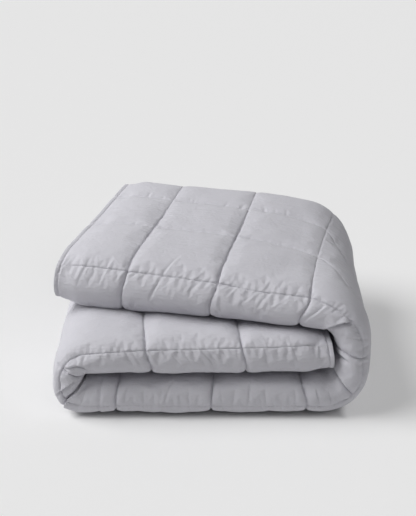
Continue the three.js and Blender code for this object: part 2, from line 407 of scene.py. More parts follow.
def settle(points):
    """Crown of the pile, flat rest on the floor, origin under its middle."""
    crown = curve(CROWN_Y, CROWN_K)
    p = points.copy()
    p[..., 2] *= crown(p[..., 1])
    press = FLOOR_PRESS * (1 - smooth(p[..., 2] / PRESS_HEIGHT))
    p[..., 2] = np.maximum(0.0, p[..., 2] - press)
    return p - CENTRE


def grid_normals(p):
    du = np.gradient(p, axis=0)
    dv = np.gradient(p, axis=1)
    return unit(np.cross(dv, du))


# Depth of the sewn lines below the puffed cloth, and how wide they draw it in
CROSS_DEPTH = 4.6
CROSS_WIDTH = 8.0
ROW_DEPTH = (3.4, 1.2, 1.2)
ROW_WIDTH = (6.0, 5.0, 5.0)
BAND_WIDTH = 26.0
ROW_PIN = (1.0, 0.6, 0.6)
BORDER_DEPTH = 1.2
BORDER_WIDTH = 3.0

# Uneven depth of the seams and low swells of the cloth: size, lengths and number of the waves
SEAM_WAVER = 0.17
WAVER_LENGTHS = (14.0, 40.0)
WAVER_COUNT = 12
SWELL_HEIGHT = 0.8
SWELL_LENGTHS = (60.0, 170.0)
SWELL_COUNT = 24

# The cloth starts a little slack, because it swells
DEFLATE = 3.0

# Narrow sewn groove that is pressed in last
FINE_WIDTH = 1.4
FINE_CROSS = 3.2
FINE_ROWS = (2.4, 1.4, 1.4)
FINE_BORDER = 1.2

# Share of the first row's depth at u: none in the end borders and little along the floor
FIRST_ROW_SHARE = curve(
    [0, 12, 34, 640, 700, 1140, 1200, 1966, 1988, 2000],
    [0, 0.2, 1, 1, 0.6, 0.6, 1, 1, 0.2, 0])

# Share of a cross seam's depth at v, for most seams and for those at these lengths of the strip
CROSS_SHARE = curve([-60, 60, 300, 400, 520], [1, 1, 1, 0.5, 0.4])
CROSS_SHARE_AT = {
    548.0: curve([-60, 10, 50, 520], [1, 1, 0.05, 0.05]),
    1292.0: curve([-60, 14, 50, 520], [1, 1, 0.05, 0.05]),
    1478.0: curve([-60, 30, 80, 200, 520], [1, 1, 0.5, 0.35, 0.25]),
}

# The top layer sinks towards the right bend: depth at u, share at v
TOP_SAG = curve([1320, 1400, 1460, 1500, 1580, 1690], [0, 14, 17, 14, 5, 0])
SAG_SHARE = curve([60, 170, 260, 340, 450, 520], [0, 0.9, 1.0, 0.85, 0.15, 0.1])

# Its back fold dips there and stands higher further on: height at u, share at v
BACK_RISE = curve([1390, 1440, 1480, 1540, 1640, 1760, 1900, 2000], [0, -4, -3, 4, 8, 6, 5, 5])
BACK_SHARE = curve([300, 420, 480, 540], [0, 0.8, 1, 0.6])

# The bottom layer swells at its front and curls up behind its lip; the top layer droops to its end
BOTTOM_SPAN = curve([640, 720, 1120, 1190], [0, 1, 1, 0])
BOTTOM_SWELL = curve([-95, -65, -30, -6, 20], [0, 0.5, 9, 8, 0])
LIP_CURL = curve([15, 45, 95, 140], [0, 8, 9, 0])
TOP_DROOP = curve([1390, 1460, 1580, 1700, 1850, 1940, 1975, 2000], [0, 5, 5, 7, 12, 14, 14, 10])
DROOP_SHARE = curve([-80, -40, -15, 35], [1, 1, 0.8, 0])

# The first row stands forward like an edge: how far at u, and the share below (negative) and above it
EDGE_REACH = curve([0, 430, 500, 1480, 1560, 2000], [13, 13, 0, 0, 5, 5])
EDGE_SHARE = curve([-42, -22, -8, 0, 20, 60], [0, 0.3, 0.72, 1, 0.8, 0])
EDGE_DIRECTION = np.array([0.0, -0.9, 0.435])

# The left bend: its foot spreads over the floor (at u, by height z) and its back draws in (at u, v)
FOOT_SPAN = curve([520, 580, 650, 730], [0, 1, 1, 0])
FOOT_SPREAD = curve([0, 12, 25, 48, 75], [17, 14, 11, 6, 0])
LEFT_SPAN = curve([380, 470, 560, 640], [0, 1, 1, 0])
LEFT_DRAW = curve([0, 60, 150, 300, 520], [1, 3, 6, 8, 9])

# Faces that lie on the floor (a span of u, from v on) or under the top layer (up to u, from v on)
FLOOR_SPAN = (700.0, 1130.0)
FLOOR_FROM = 60.0
COVERED_UNTIL = 440.0
COVERED_FROM = 200.0

# Small relief is worked out up to this distance along the strip
RELIEF_WINDOW = 70.0

# Gathers along the first row: slope of their run at u, then their sizes
GATHER_SLOPE = curve(
    [0, 80, 250, 400, 520, 650, 1150, 1350, 1480, 1600, 1780, 1870, 2000],
    [0.1, 0.1, -0.3, -0.45, -0.25, 0.0, 0.05, 0.3, 0.5, 0.6, 0.7, 0.35, 0.15])
GATHER_SPACING = (5.0, 19.0)
GATHER_HALF_WIDTH = (1.7, 3.2)
GATHER_DEPTH = (0.3, 1.8)
GATHER_BELOW = (14.0, 58.0)
GATHER_ABOVE = (5.0, 28.0)
GATHER_MARGIN = 6.0
GATHER_SLOPE_SPREAD = 0.25
GATHER_BELOW_SPREAD = (0.8, 1.2)
GATHER_ABOVE_SPREAD = (0.5, 1.2)

# Depth of a gather along its run: share at the start, where it is deepest, and power of its fading
GATHER_START = 0.4
GATHER_DEEPEST = 0.15
GATHER_FADE = 1.2

# The soft ridge beside a pleat: share of its depth, then place and width in widths of the pleat
RIDGE_SHARE = 0.3
RIDGE_PLACE = 2.2
RIDGE_WIDTH = 1.4

# Small puckers across the cross seams, with less depth on the side before the seam
PUCKER_SPAN = (-60.0, 460.0)
PUCKER_SPACING = (7.0, 15.0)
PUCKER_WIDTH = (2.4, 4.0)
PUCKER_DEPTH = (0.2, 0.9)
PUCKER_SLOPE = (-0.3, 0.3)
PUCKER_REACH = (10.0, 32.0)
PUCKER_BEFORE = 0.45

# Dimples beside the other two long seams
DIMPLED_ROWS = (1, 2)
DIMPLE_MARGIN = 20.0
DIMPLE_SPACING = (8.0, 44.0)
DIMPLE_ASIDE = (-2.0, 7.0)
DIMPLE_SLOPE = (-0.6, 0.6)
DIMPLE_LENGTH = (3.0, 11.0)
DIMPLE_WIDTH = 3.4
DIMPLE_DEPTH = (0.2, 2.2)

# Creases and tucks: depth of the low side, height of the other, half widths of both, how far the raised
# side laps over, which side that is (1 towards the end of the strip), then the line: v, u, share of depth
CREASES = [
    (17, 5, 5.5, 9, 6, 1, [
        (-75, 639, 1), (-25, 639, 1), (1, 637, 1), (18, 640, 1),
        (36, 645, 0.7), (54, 649, 0.3), (72, 653, 0)]),
    (5, 3.5, 6, 4, 2, -1, [
        (-34, 560, 0), (-17, 572, 1), (11, 600, 1), (24, 608, 0.5), (40, 615, 0.2), (60, 622, 0)]),
    (5, 3, 6, 8, 2, -1, [
        (-24, 470, 0), (-12, 482, 1), (4, 518, 1), (10, 533, 1), (24, 544, 0)]),
    (4.5, 1.5, 6, 6, 0, 1, [
        (-58, 699, 0), (-41, 701, 1), (-9, 708, 1), (18, 708, 0.6), (40, 705, 0)]),
    (3.5, 2, 5, 6, 1, -1, [(-26, 1470, 0), (-10, 1463, 0.8), (14, 1452, 1), (27, 1446, 0)]),
    (12, 5, 7, 10, 5, 1, [
        (-45, 1428, 0), (-24, 1416, 0.8), (-11, 1404, 1), (4, 1392, 1), (13, 1387, 0.8), (22, 1382, 0)]),
    (12, 4, 6, 10, 5, 1, [
        (-75, 1255, 1), (-17, 1229, 1), (8, 1218, 0.8), (26, 1211, 0.3), (44, 1205, 0)]),
    (10, 0, 6, 7, 0, 1, [(-75, 1284, 1), (-29, 1281, 1), (-8, 1280, 0)]),
    (2.4, 0.8, 4, 4, 0, -1, [(44, 1776, 0), (57, 1772, 1), (98, 1757, 0.7), (112, 1752, 0)]),
    (2.2, 0.6, 4, 4, 0, -1, [(-12, 1787, 0), (8, 1783, 1), (30, 1778, 0.7), (44, 1776, 0)]),
    (2, 0.5, 3.5, 3.5, 0, 1, [(26, 1917, 0), (42, 1920, 1), (66, 1927, 0)]),
    (2.5, 1, 4, 5, 0, -1, [(-30, 1128, 0), (-14, 1129, 1), (2, 1130, 1), (14, 1133, 0)]),
]

# How sharp a crease is, half the width of its step, and how far and how firmly it is held
CREASE_POWER = 1.3
CREASE_STEP = 2.4
CREASE_HELD = 7.0
CREASE_PIN = 0.5
CREASE_PIN_DEPTH = 10.0
LAP_WIDTH = 14.0

# Simulation of the skin, one unit to 100 mm: thin cloth under a little pressure, with spare cloth (a
# negative shrink) that is most where it gathers
SIM_SCALE = 10.0
SIM_FRAMES = 10
SIM_SETTINGS = {
    "quality": 4, "mass": 0.2, "pin_stiffness": 1.0, "bending_stiffness": 1.5,
    "tension_stiffness": 15.0, "compression_stiffness": 15.0, "shear_stiffness": 5.0,
    "tension_damping": 5.0, "compression_damping": 5.0, "shear_damping": 5.0,
    "use_pressure": True, "uniform_pressure_force": 0.22, "vertex_group_mass": "pin",
    "vertex_group_shrink": "taut", "shrink_min": -0.03, "shrink_max": -0.004,
}
SIM_HOLD = 0.05
PIN_LEVELS = 40

# Zone of the gathers, a little below the first row, and limits of the simulated moves
GATHER_ZONE = 34.0
GATHER_ZONE_DROP = 8.0
PUFF_LIMIT = 6.5
SINK_LIMIT = 7.0
ASIDE_LIMIT = 4.0


def groove(distance, depth, width):
    return depth * np.exp(-np.abs(distance) / width)


def pleat(across, width, deep):
    """A sharp fold with a soft ridge along one side."""
    ridge = np.exp(-((across - RIDGE_PLACE * width) / (RIDGE_WIDTH * width)) ** 2)
    return RIDGE_SHARE * deep * ridge - groove(across, deep, width)


def nearest(values, places):
    """Signed distance from each value to the nearest of some places."""
    gaps = values[:, None] - np.asarray(places)[None, :]
    return gaps[np.arange(len(values)), np.abs(gaps).argmin(1)]


def waves(rng, u, v, shortest, longest, count):
    """Uneven low swells over the cloth, between -1 and 1 or so."""
    total = np.zeros(np.broadcast(u, v).shape)
    for _ in range(count):
        angle = rng.uniform(0, math.pi)
        length = rng.uniform(shortest, longest)
        phase = rng.uniform(0, 2 * math.pi)
        run = u * math.cos(angle) + v * math.sin(angle)
        total += np.sin(run * 2 * math.pi / length + phase)
    return total / math.sqrt(count)


def hidden(u, v):
    on_floor = (u > FLOOR_SPAN[0]) & (u < FLOOR_SPAN[1]) & (v > FLOOR_FROM)
    under_top = (u < COVERED_UNTIL) & (v > COVERED_FROM)
    return on_floor | under_top


def cross_shares(cloth):
    """Share of the cross seams' depth: little over the outside of the bends and at the back."""
    share = CROSS_SHARE(cloth.v)
    for seam, special in CROSS_SHARE_AT.items():
        near = np.abs(cloth.u - seam) < CELL / 2
        share[near] = special(cloth.v[near])
    return share


class Quilting:
    """Height of the cloth over its plain face, and how firmly each point is held."""

    def __init__(self, cloth):
        self.cloth = cloth
        self.rng = np.random.default_rng(SEED)
        self.u = cloth.u[:, None] + np.zeros_like(cloth.v)
        self.v = cloth.v
        self.normals = grid_normals(cloth.face)
        self.length = run_along(cloth.face)
        self.height = np.full_like(self.v, -DEFLATE)
        self.shift = np.zeros_like(self.v)
        self.fine = np.zeros_like(self.v)
        self.pin = np.zeros_like(self.v)
        self.sew()
        self.gather_first_row()
        self.pucker_cross_seams()
        self.dimple_rows()
        self.crease()
        self.height -= TOP_SAG(self.u) * SAG_SHARE(self.v)
        self.height += BACK_RISE(self.u) * BACK_SHARE(self.v)
        self.height += BOTTOM_SPAN(self.u) * (BOTTOM_SWELL(self.v) - LIP_CURL(self.v))
        self.height += SWELL_HEIGHT * waves(self.rng, self.u, self.v, *SWELL_LENGTHS, SWELL_COUNT)
        self.hold()

    def sew(self):
        cloth = self.cloth
        seam_u = cloth.u[cloth.seam_rows]
        to_cross = nearest(cloth.u, seam_u[1:-1])[:, None]
        to_border = nearest(cloth.u, seam_u[[0, -1]])[:, None]
        cross_share = cross_shares(cloth)
        drop = groove(to_cross, CROSS_DEPTH, CROSS_WIDTH) * cross_share
        self.fine -= groove(to_cross, FINE_CROSS, FINE_WIDTH) * cross_share
        self.fine -= groove(to_border, FINE_BORDER, FINE_WIDTH)
        drop = np.maximum(drop, groove(to_border, BORDER_DEPTH, BORDER_WIDTH))
        first_share = FIRST_ROW_SHARE(cloth.u)[:, None]
        for k, row_share in enumerate((first_share, 1.0, 1.0)):
            across = self.v - cloth.rows[:, k:k + 1]
            width = np.where((k == 0) & (across < 0), BAND_WIDTH, ROW_WIDTH[k])
            drop = np.maximum(drop, groove(across, ROW_DEPTH[k], width) * row_share)
            self.fine -= groove(across, FINE_ROWS[k], FINE_WIDTH) * row_share
        drop *= 1 + SEAM_WAVER * waves(self.rng, self.u, self.v, *WAVER_LENGTHS, WAVER_COUNT)
        self.height -= drop
        self.pin[:, cloth.seam_cols] = ROW_PIN
        on_cross = np.maximum(self.pin, smooth(2 * cross_share))
        self.pin[cloth.seam_rows] = on_cross[cloth.seam_rows]

    def near(self, at):
        """First row of the grid near a place, and the row after the last."""
        return np.searchsorted(self.cloth.u, [at - RELIEF_WINDOW, at + RELIEF_WINDOW])

    def gather_first_row(self):
        rng = self.rng
        row = self.cloth.rows[:, :1]
        at = BORDER + GATHER_MARGIN
        while at < STRIP_LENGTH - BORDER - GATHER_MARGIN:
            i0, i1 = self.near(at)
            below = row[i0:i1] - self.v[i0:i1]
            slope = GATHER_SLOPE(at) + rng.uniform(-GATHER_SLOPE_SPREAD, GATHER_SLOPE_SPREAD)
            across = self.u[i0:i1] - at - slope * below
            size = rng.uniform(0, 1) ** 2
            width = mix(*GATHER_HALF_WIDTH, rng.uniform(0, 1))
            deep = mix(*GATHER_DEPTH, size)
            run_below = mix(*GATHER_BELOW, size) * rng.uniform(*GATHER_BELOW_SPREAD)
            run_above = mix(*GATHER_ABOVE, size) * rng.uniform(*GATHER_ABOVE_SPREAD)
            run = np.where(below > 0, below / run_below, -below / run_above)
            start = mix(GATHER_START, 1.0, smooth(run / GATHER_DEEPEST))
            fade = start * np.clip(1 - run, 0, 1) ** GATHER_FADE
            side = rng.choice([-1.0, 1.0])
            self.height[i0:i1] += pleat(across * side, width, deep) * fade
            at += rng.uniform(*GATHER_SPACING)

    def pucker_cross_seams(self):
        rng = self.rng
        for seam in self.cloth.u[self.cloth.seam_rows]:
            i0, i1 = self.near(seam)
            beside = self.u[i0:i1] - seam
            at, last = PUCKER_SPAN
            while at < last:
                width = rng.uniform(*PUCKER_WIDTH)
                deep = rng.uniform(*PUCKER_DEPTH)
                slope = rng.uniform(*PUCKER_SLOPE)
                reach = rng.uniform(*PUCKER_REACH)
                side = np.where(beside > 0, 1.0, PUCKER_BEFORE)
                fade = np.clip(1 - np.abs(beside) / reach, 0, 1) * side
                across = self.v[i0:i1] - at - slope * beside
                self.height[i0:i1] -= deep * np.exp(-(across / width) ** 2) * fade
                at += rng.uniform(*PUCKER_SPACING)

    def dimple_rows(self):
        rng = self.rng
        for k in DIMPLED_ROWS:
            at = DIMPLE_MARGIN
            while at < STRIP_LENGTH - DIMPLE_MARGIN:
                i0, i1 = self.near(at)
                across = self.v[i0:i1] - self.cloth.rows[i0:i1, k:k + 1] - rng.uniform(*DIMPLE_ASIDE)
                along = self.u[i0:i1] - at - rng.uniform(*DIMPLE_SLOPE) * across
                long = rng.uniform(*DIMPLE_LENGTH)
                deep = mix(*DIMPLE_DEPTH, rng.uniform(0, 1) ** 2)
                self.height[i0:i1] -= deep * np.exp(-(along / DIMPLE_WIDTH) ** 2 - (across / long) ** 2)
                at += rng.uniform(*DIMPLE_SPACING)

    def from_line(self, v_points, u_points):
        """Distance of each point along the cloth from a line across it."""
        line = curve(v_points, u_points)
        line_u = line(self.v)
        at = np.empty_like(self.v)
        for j in range(self.v.shape[1]):
            at[:, j] = np.interp(line_u[:, j], self.cloth.u, self.length[:, j])
        stretch = np.gradient(self.length, axis=0) / np.gradient(self.cloth.u)[:, None]
        slope = (line(self.v + 1) - line(self.v - 1)) / 2 * stretch
        return (self.length - at) / np.hypot(1.0, slope)

    def crease(self):
        for deep, raised, deep_width, raised_width, lap, side, points in CREASES:
            v_points, u_points, shares = np.array(points, float).T
            fade = curve(v_points, shares)(self.v)
            across = self.from_line(v_points, u_points) * side
            low = -deep * np.exp(-np.abs(across / deep_width) ** CREASE_POWER)
            high = raised * np.exp(-np.abs(across / raised_width) ** CREASE_POWER)
            step = smooth((across + CREASE_STEP) / (2 * CREASE_STEP))
            self.height += mix(low, high, step) * fade
            self.shift -= side * lap * np.exp(-(across / LAP_WIDTH) ** 2) * step * fade
            held = np.exp(-(across / CREASE_HELD) ** 2) * smooth(fade)
            firm = CREASE_PIN * min(1.0, (deep / CREASE_PIN_DEPTH) ** 2)
            self.pin = np.maximum(self.pin, firm * held)

    def hold(self):
        """Edges of the skin and the faces that lie on one another keep their place."""
        free = np.zeros(self.pin.shape, bool)
        free[2:-2, 2:-2] = True
        free &= ~hidden(self.u, self.v)
        self.pin = np.where(free, np.maximum(self.pin, SIM_HOLD), 1.0)

    def pressed(self, skin):
        """The sewn grooves pressed into a skin, which stays above the floor."""
        return above_floor(skin + grid_normals(skin) * self.fine[..., None])

    def slack(self):
        """Spare cloth: most beside the first row, where the thread gathers it."""
        beside = self.v - self.cloth.rows[:, :1] + GATHER_ZONE_DROP
        return np.exp(-(beside / GATHER_ZONE) ** 2)


def grid_faces(rows, cols, closed=False):
    """Faces of a grid of points, whose last column may meet the first."""
    index = np.arange(rows * cols).reshape(rows, cols)
    if closed:
        index = np.concatenate([index, index[:, :1]], axis=1)
    corners = [index[:-1, :-1], index[:-1, 1:], index[1:, 1:], index[1:, :-1]]
    return np.stack(corners, -1).reshape(-1, 4).tolist()


def add_object(name, data):
    added = bpy.data.objects.new(name, data)
    bpy.context.collection.objects.link(added)
    return added


def mesh_object(name, points, faces, material=None):
    mesh = bpy.data.meshes.new(name)
    mesh.from_pydata(points.tolist(), [], faces)
    if material:
        mesh.materials.append(material)
    mesh.polygons.foreach_set("use_smooth", np.ones(len(mesh.polygons), bool))
    mesh.update()
    return add_object(name, mesh)


def weight_group(piece, name, weights):
    group = piece.vertex_groups.new(name=name)
    level = np.round(weights.ravel() * PIN_LEVELS).astype(int)
    for k in np.unique(level):
        group.add(np.where(level == k)[0].tolist(), k / PIN_LEVELS, "REPLACE")


def relax(start, pin, slack):
    """Cloth simulation: the seams are held while the cloth between them puffs and gathers."""
    rows, cols = start.shape[:2]
    piece = mesh_object("skin", start.reshape(-1, 3) * MM * SIM_SCALE, grid_faces(rows, cols))
    weight_group(piece, "pin", pin)
    weight_group(piece, "taut", 1 - slack)
    modifier = piece.modifiers.new("cloth", "CLOTH")
    for name, value in SIM_SETTINGS.items():
        setattr(modifier.settings, name, value)
    modifier.settings.effector_weights.gravity = 0.0
    modifier.collision_settings.use_collision = False
    modifier.collision_settings.use_self_collision = False
    modifier.point_cache.frame_start = 1
    modifier.point_cache.frame_end = SIM_FRAMES
    for number in range(1, SIM_FRAMES + 1):
        bpy.context.scene.frame_set(number)
    done = piece.evaluated_get(bpy.context.evaluated_depsgraph_get())
    flat = np.empty(rows * cols * 3, np.float32)
    done.data.vertices.foreach_get("co", flat)
    bpy.data.meshes.remove(piece.data)
    bpy.context.scene.frame_set(1)
    return flat.reshape(rows, cols, 3).astype(float) / (MM * SIM_SCALE)


def soft_limit(x, low, high):
    """Keeps values between two limits, easing in to them."""
    return np.where(x > 0, high * np.tanh(x / high), low * np.tanh(x / low))


def start_shape(cloth, quilt):
    """The plain face with its relief, then the larger moves of the fronts and the left bend."""
    along = unit(np.gradient(cloth.face, axis=0))
    start = cloth.face + quilt.normals * quilt.height[..., None] + along * quilt.shift[..., None]
    start[..., 2] -= TOP_DROOP(quilt.u) * DROOP_SHARE(quilt.v)
    reach = EDGE_REACH(quilt.u) * EDGE_SHARE(quilt.v - cloth.rows[:, :1])
    start += EDGE_DIRECTION * reach[..., None]
    start[..., 0] += LEFT_SPAN(quilt.u) * LEFT_DRAW(quilt.v)
    start[..., 0] -= FOOT_SPAN(quilt.u) * FOOT_SPREAD(start[..., 2])
    return above_floor(start)


def moved_skin(start, moved, normals):
    """The skin after a move, with each point kept near its start."""
    outward = (moved * normals).sum(-1)
    aside = moved - normals * outward[..., None]
    outward = soft_limit(outward, -SINK_LIMIT, PUFF_LIMIT)
    aside_size = np.linalg.norm(aside, axis=-1)
    aside *= (np.minimum(aside_size, ASIDE_LIMIT) / np.maximum(aside_size, 1e-6))[..., None]
    return start + aside + normals * outward[..., None]


def finished_skin(cloth):
    quilt = Quilting(cloth)
    start = start_shape(cloth, quilt)
    moved = relax(start, quilt.pin, quilt.slack()) - start
    return quilt.pressed(moved_skin(start, moved, quilt.normals))


# Loose hems at the back: size of their waves outward and in depth, lengths and number of the waves,
# and the share of them at the next points
HEM_WAVE = 3.6
HEM_DEPTH = 3.0
HEM_LENGTHS = (45.0, 190.0)
HEM_COUNT = 16
HEM_SHARE = 0.7

# Hidden inner faces: columns of the skin to each of theirs, also at the back fold, room under the skin
# (also as a share of the ply), and rows that move with a deep place
INNER_STEP = 12
INNER_FOLD_STEP = 2
PLY_ROOM = 8.0
PLY_SHARE = 0.5
PUSH_ROWS = 8
TRIANGLE_LIMIT = 194000

# Cotton: its lighter and its darker tone, roughness and sheen
CLOTH_COLOUR = (0.585, 0.579, 0.622)
CLOTH_SHADE = (0.555, 0.548, 0.590)
CLOTH_ROUGHNESS = 0.9
CLOTH_SHEEN = 0.12

# Relief of the cloth in metres: lines drawn along the strip, crumple, fine crinkle and weave
LINES_RELIEF = 0.003
CRUMPLE_RELIEF = 0.0014
CRINKLE_RELIEF = 0.001
WEAVE_RELIEF = 0.00012
LINES_PER_METRE = (11.0, 120.0, 1.0)
CRUMPLES_PER_METRE = 48.0
CRINKLES_PER_METRE = (110.0, 260.0, 1.0)
TONES_PER_METRE = 9.0
WEAVE_SCALE = 330.0

# Fineness of the noise in the drawn lines and crinkle, and in the crumple and the tone
DRAWN_DETAIL = 2.0
SOLID_DETAIL = 3.0

# Tightness of the cloth: everywhere, over the right bend, and beside these seams, with the distances
# over which it fades past and before them
TENSION_PLAIN = 0.25
TENSION_BEND = 0.8
TENSION_SEAMS = (1664.0, 1850.0)
TENSION_PAST = 32.0
TENSION_BEFORE = 12.0

# Where the right bend (in u) and the upper face (in v) begin and end, with the lengths of the ramps
BEND_WINDOW = (1300.0, 1480.0, 60.0, 60.0)
FACE_WINDOW = (60.0, 380.0, 40.0, 60.0)

# Sockets for a blend of two colours: share and colours, then the result
BLEND_INPUTS = (0, 6, 7)
BLEND_RESULT = 2


class Nodes:
    """Places the nodes of one tree and links them."""

    def __init__(self, owner):
        owner.use_nodes = True
        self.tree = owner.node_tree

    def put(self, socket, value):
        """Links an output of another node to a socket, or sets its value."""
        if isinstance(value, bpy.types.NodeSocket):
            self.tree.links.new(value, socket)
        else:
            socket.default_value = value

    def fill(self, node, **inputs):
        for name, value in inputs.items():
            self.put(node.inputs[name.replace("_", " ")], value)
        return node

    def node(self, kind, **inputs):
        return self.fill(self.tree.nodes.new(kind), **inputs)

    def place(self, space):
        return self.node("ShaderNodeTexCoord").outputs[space]

    def operate(self, kind, operation, *inputs):
        node = self.tree.nodes.new(kind)
        node.operation = operation
        for socket, value in zip(node.inputs, inputs):
            self.put(socket, value)
        return node.outputs

    def math(self, operation, *inputs):
        return self.operate("ShaderNodeMath", operation, *inputs)["Value"]

    def vector_math(self, operation, *inputs):
        return self.operate("ShaderNodeVectorMath", operation, *inputs)

    def ramp(self, value, start, high):
        """Rises from 0, where the value is at its start, to a height where it is 1."""
        return self.node("ShaderNodeMapRange", Value=value, From_Min=start, To_Max=high).outputs["Result"]


class Shader(Nodes):
    """The nodes of one material."""

    def __init__(self, name):
        self.material = bpy.data.materials.new(name)
        super().__init__(self.material)

    def noise(self, place, scale, detail):
        return self.node("ShaderNodeTexNoise", Vector=place, Scale=scale, Detail=detail).outputs["Fac"]

    def drawn_noise(self, place, scale, detail):
        return self.noise(self.vector_math("MULTIPLY", place, scale)["Vector"], 1.0, detail)

    def bands(self, place, direction, scale):
        node = self.node("ShaderNodeTexWave", Vector=place, Scale=scale)
        node.bands_direction = direction
        return node.outputs["Fac"]

    def blend(self, share, first, second):
        node = self.node("ShaderNodeMix")
        node.data_type = "RGBA"
        for socket, value in zip(BLEND_INPUTS, (share, (*first, 1.0), (*second, 1.0))):
            self.put(node.inputs[socket], value)
        return node.outputs[BLEND_RESULT]

    def bump(self, height, distance, **below):
        node = self.node("ShaderNodeBump", Height=height, Strength=1.0, Distance=distance, **below)
        return node.outputs["Normal"]

    def finish(self, **inputs):
        self.fill(self.tree.nodes["Principled BSDF"], **inputs)
        return self.material


def cotton():
    """Soft grey cotton: faint uneven tone, fine drawn lines, a little crumple and a plain weave."""
    shader = Shader("cotton")
    solid = shader.place("Object")
    attribute = shader.node("ShaderNodeAttribute")
    attribute.attribute_name = "cloth"
    along = attribute.outputs["Vector"]
    tension = shader.node("ShaderNodeSeparateXYZ", Vector=along).outputs["Z"]
    lines = shader.drawn_noise(along, LINES_PER_METRE, DRAWN_DETAIL)
    crinkle = shader.drawn_noise(along, CRINKLES_PER_METRE, DRAWN_DETAIL)
    crumple = shader.noise(solid, CRUMPLES_PER_METRE, SOLID_DETAIL)
    threads = shader.math("MULTIPLY", *(shader.bands(along, axis, WEAVE_SCALE) for axis in "XY"))
    normal = shader.bump(shader.math("MULTIPLY", lines, tension), LINES_RELIEF)
    normal = shader.bump(crumple, CRUMPLE_RELIEF, Normal=normal)
    normal = shader.bump(crinkle, CRINKLE_RELIEF, Normal=normal)
    normal = shader.bump(threads, WEAVE_RELIEF, Normal=normal)
    tone = shader.blend(shader.noise(solid, TONES_PER_METRE, SOLID_DETAIL), CLOTH_SHADE, CLOTH_COLOUR)
    return shader.finish(
        Base_Color=tone, Normal=normal, Roughness=CLOTH_ROUGHNESS, Sheen_Weight=CLOTH_SHEEN)


def window(x, start, end, ramp_in, ramp_out):
    """1 between two places, rising after the first and falling after the second."""
    return smooth((x - start) / ramp_in) * (1 - smooth((x - end) / ramp_out))


def tension_at(u, v):
    """How tightly the cloth is drawn: beside the cross seams of the top and over the right bend."""
    tight = TENSION_BEND * window(u, *BEND_WINDOW)
    for seam in TENSION_SEAMS:
        past = u - seam
        tight += np.where(past > 0, np.exp(-past / TENSION_PAST), np.exp(past / TENSION_BEFORE))
    return TENSION_PLAIN + tight * window(v, *FACE_WINDOW)


def widest(values, rows, cols):
    """Largest value within some rows and columns of each place of a grid."""
    for reach, axis in ((rows, 0), (cols, 1)):
        padded = np.pad(values, [(reach, reach) if k == axis else (0, 0) for k in (0, 1)], "edge")
        values = np.lib.stride_tricks.sliding_window_view(padded, 2 * reach + 1, axis).max(-1)
    return values


def inner_faces(cloth, skin):
    """Hidden faces of the plies, moved in where a deep crease of the skin would reach them."""
    inner = cloth.inner.copy()
    normals = grid_normals(cloth.face)
    room = ((cloth.face - inner[:, cloth.skin]) * normals).sum(-1)
    gap = ((skin - inner[:, cloth.skin]) * normals).sum(-1)
    push = np.maximum(0.0, np.minimum(PLY_ROOM, PLY_SHARE * room) - gap)
    inner[:, cloth.skin] -= normals * widest(push, PUSH_ROWS, INNER_STEP)[..., None]
    return inner


def wave_hems(cloth, grids):
    """Loose waves along the two hems, the same on both faces of a ply."""
    rng = np.random.default_rng(SEED)
    inside = smooth(np.minimum(cloth.u, STRIP_LENGTH - cloth.u) / FLANGE_TAPER)

    def wave(size):
        return size * inside * soft_limit(waves(rng, cloth.u, 0.0, *HEM_LENGTHS, HEM_COUNT), -1.0, 1.0)

    for edge, next_to_edge in ((0, 1), (-1, -2)):
        move = cloth.out * wave(HEM_WAVE)[:, None]
        move[:, 1] += wave(HEM_DEPTH)
        for grid in grids:
            grid[:, edge] += move
            grid[:, next_to_edge] += HEM_SHARE * move
            above_floor(grid)


def inner_columns(cloth):
    """Columns of the hidden faces: few under the skin, more in the back fold, all at the hems."""
    width = cloth.outer.shape[1]
    end = cloth.skin.stop
    return np.unique(np.concatenate([
        np.arange(cloth.HEM), np.arange(cloth.HEM, end, INNER_STEP),
        np.arange(end - BACK_STEPS, width, INNER_FOLD_STEP), np.arange(end - 1, width)]))


def end_cap(base, size, coarse, order):
    """Faces that close a free end, from one kept inner column to the next."""
    faces = []
    for k, (low, high) in enumerate(zip(coarse[:-1], coarse[1:])):
        inner = base + size - 1 - k
        loop = [base + column for column in range(low, high + 1)] + [inner - 1, inner]
        faces.append(loop[::order])
    return faces


def build_duvet(cloth, skin, material):
    """Rings of points round all plies, joined along the strip and closed at its ends."""
    outer = cloth.outer.copy()
    outer[:, cloth.skin] = skin
    coarse = inner_columns(cloth)
    inner = inner_faces(cloth, skin)
    wave_hems(cloth, (outer, inner))
    ring = np.concatenate([outer, inner[:, coarse][:, ::-1]], axis=1)
    count, size = ring.shape[:2]
    faces = grid_faces(count, size, closed=True)
    faces += end_cap(0, size, coarse, -1)
    faces += end_cap((count - 1) * size, size, coarse, 1)
    piece = mesh_object("duvet_cloth", ring.reshape(-1, 3) * MM, faces, material)
    mark_cloth(piece, cloth, coarse)
    thin_out(piece)
    return piece


def mark_cloth(piece, cloth, coarse):
    """Keeps length, width and tension of the cloth at each point, for its material."""
    v = np.pad(cloth.v, [(0, 0), (cloth.HEM, cloth.outer.shape[1] - cloth.skin.stop)], "edge")
    v = np.concatenate([v, v[:, coarse][:, ::-1]], axis=1)
    u = cloth.u[:, None] + 0 * v
    values = np.stack([u * MM, v * MM, tension_at(u, v)], -1)
    attribute = piece.data.attributes.new("cloth", "FLOAT_VECTOR", "POINT")
    attribute.data.foreach_set("vector", values.astype(np.float32).ravel())


